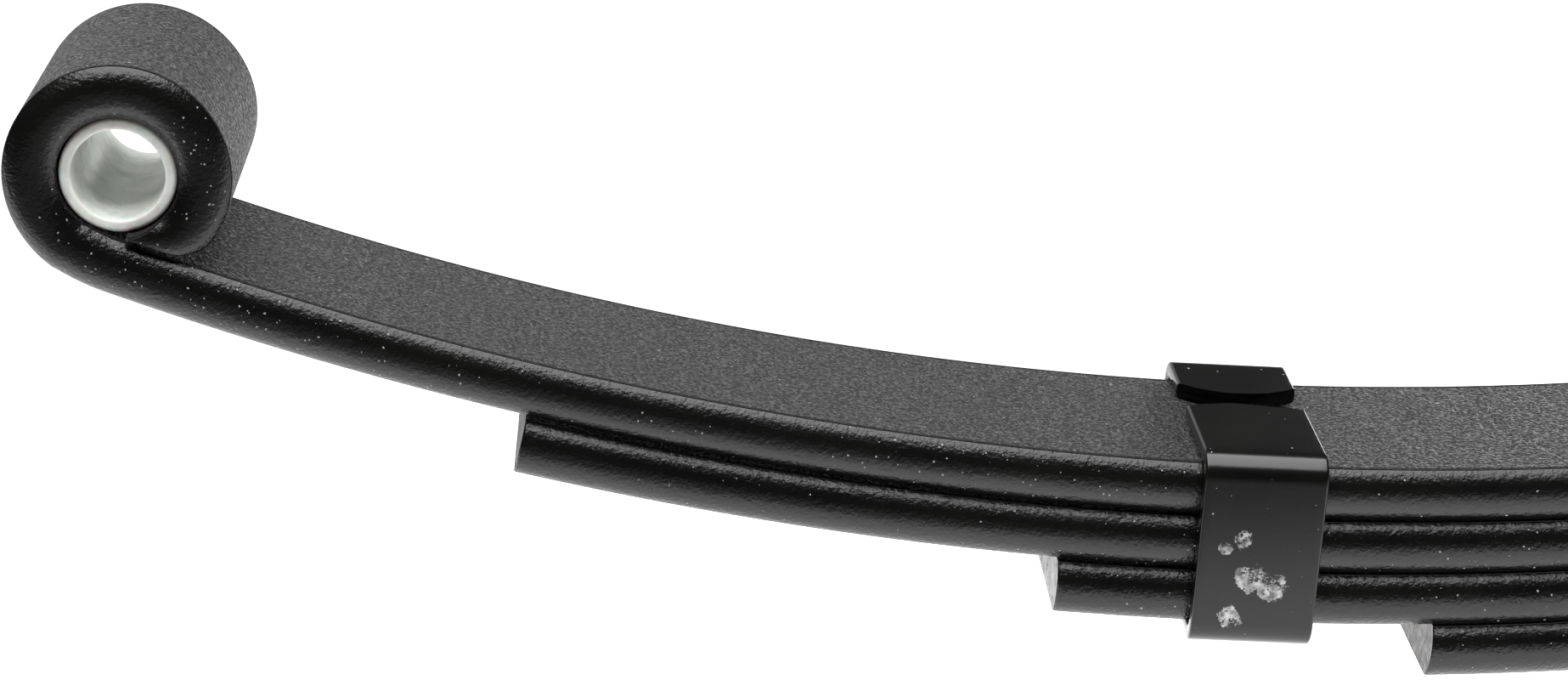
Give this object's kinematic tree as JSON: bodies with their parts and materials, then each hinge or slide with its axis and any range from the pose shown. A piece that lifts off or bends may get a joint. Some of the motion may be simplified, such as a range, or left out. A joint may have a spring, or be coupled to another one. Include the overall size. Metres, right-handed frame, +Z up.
{
  "type": "leaf spring",
  "caption": "Curved multi-leaf steel spring with a rolled and bushed eye at each end, a clamped centre and strap clips round the upper leaves.",
  "frame": {"origin": "on the centre bolt axis, at the flat seat face under the fourth leaf", "axes": "+X along the spring towards the rear eye, +Y across the leaves, +Z up, from the seat towards the eyes"},
  "size_m": [0.6766, 0.05, 0.1429],
  "materials": {
    "leaf_paint": "satin",
    "clip_paint": "satin",
    "rivet_paint": "satin",
    "bolt_steel": "satin",
    "nut_steel": "satin",
    "nylon": "smooth"
  },
  "bodies": {
    "root": {"main_leaf": "leaf_paint", "second_leaf": "leaf_paint", "third_leaf": "leaf_paint", "fourth_leaf": "leaf_paint", "centre_bolt": "bolt_steel", "centre_nut": "nut_steel"},
    "front_arm": {"front_clip": "clip_paint", "front_clip_rivet": "rivet_paint"},
    "rear_arm": {"rear_clip": "clip_paint", "rear_clip_rivet": "rivet_paint"},
    "front_eye": {"front_bushing": "nylon"},
    "rear_eye": {"rear_bushing": "nylon"}
  },
  "joints": [
    {"name": "front_arm_bend", "type": "hinge", "parent": "root", "child": "front_arm", "pos_m": [-0.085, 0, 0.03196], "axis": [0, -1, 0], "range_deg": [-2, 13], "stiffness_Nm_per_rad": 22900, "deforming": ["main_leaf", "second_leaf", "third_leaf", "fourth_leaf"]},
    {"name": "front_eye_bend", "type": "hinge", "parent": "front_arm", "child": "front_eye", "pos_m": [-0.23, 0, 0.06186], "axis": [0, -1, 0], "range_deg": [-2, 13], "deforming": ["main_leaf", "second_leaf", "third_leaf", "fourth_leaf"]},
    {"name": "rear_arm_bend", "type": "hinge", "parent": "root", "child": "rear_arm", "pos_m": [0.085, 0, 0.03196], "axis": [0, 1, 0], "range_deg": [-2, 13], "stiffness_Nm_per_rad": 22900, "deforming": ["main_leaf", "second_leaf", "third_leaf", "fourth_leaf"]},
    {"name": "rear_eye_bend", "type": "hinge", "parent": "rear_arm", "child": "rear_eye", "pos_m": [0.23, 0, 0.06186], "axis": [0, 1, 0], "range_deg": [-2, 13], "deforming": ["main_leaf", "second_leaf", "third_leaf", "fourth_leaf"]}
  ],
  "couplings": [
    {"joint": "front_eye_bend", "follows": "front_arm_bend", "ratio": 1},
    {"joint": "rear_eye_bend", "follows": "rear_arm_bend", "ratio": 1}
  ]
}
